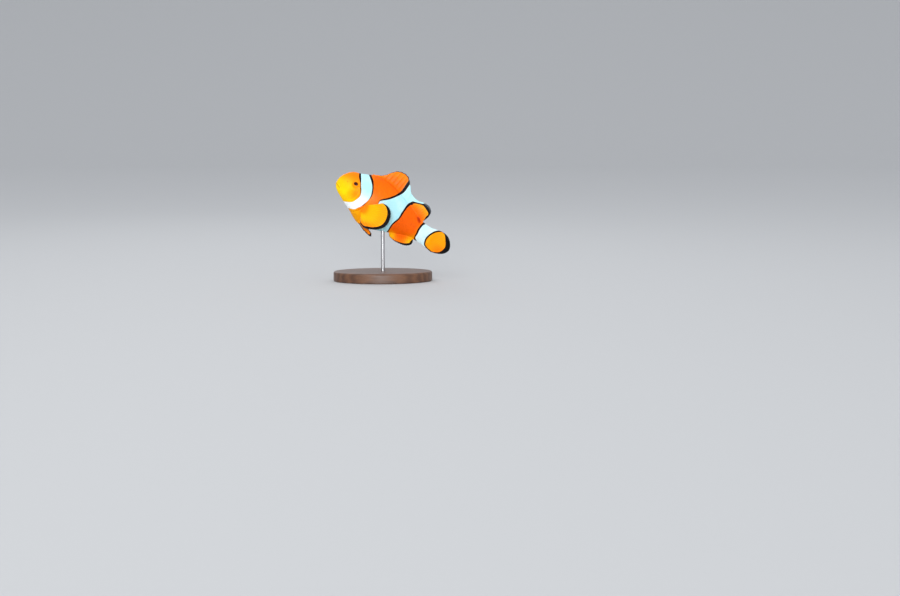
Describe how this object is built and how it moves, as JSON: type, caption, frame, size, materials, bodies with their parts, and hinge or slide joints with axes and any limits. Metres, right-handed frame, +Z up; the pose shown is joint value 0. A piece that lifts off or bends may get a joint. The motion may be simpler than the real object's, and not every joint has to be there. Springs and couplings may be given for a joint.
{
  "type": "clownfish model on a display stand",
  "caption": "Life-size clownfish, orange with white bands edged in black, swimming nose up, held by a thin steel rod on an oval wooden base.",
  "frame": {"origin": "middle of the flat underside of the oval base", "axes": "+Z up, the fish's nose towards -X and its tail towards +X, its left flank towards -Y"},
  "size_m": [0.0712, 0.04, 0.0664],
  "materials": {
    "skin": "wet-looking scaled skin, yellow face shading to orange, three white bands edged in black",
    "fin": "smooth ribbed fin membrane, orange with a black margin and a thin clear edge",
    "eye": "high gloss clear dome over a dark pupil and an orange-brown iris",
    "stand_wood": "satin oiled dark walnut with fine straight grain",
    "stand_steel": "fine brushed stainless steel"
  },
  "bodies": {
    "root": {"head": "skin", "lower_jaw": "skin", "gill_cover_left": "skin", "gill_cover_right": "skin", "eye_left": "eye", "eye_right": "eye", "trunk": "skin", "tail_stalk": "skin", "dorsal_fin_front": "fin", "dorsal_fin_rear": "fin", "anal_fin": "fin", "caudal_fin": "fin", "pectoral_fin_left": "fin", "pelvic_fin_left": "fin", "pectoral_fin_right": "fin", "pelvic_fin_right": "fin", "stand_base": "stand_wood", "stand_rod": "stand_steel"}
  },
  "joints": []
}
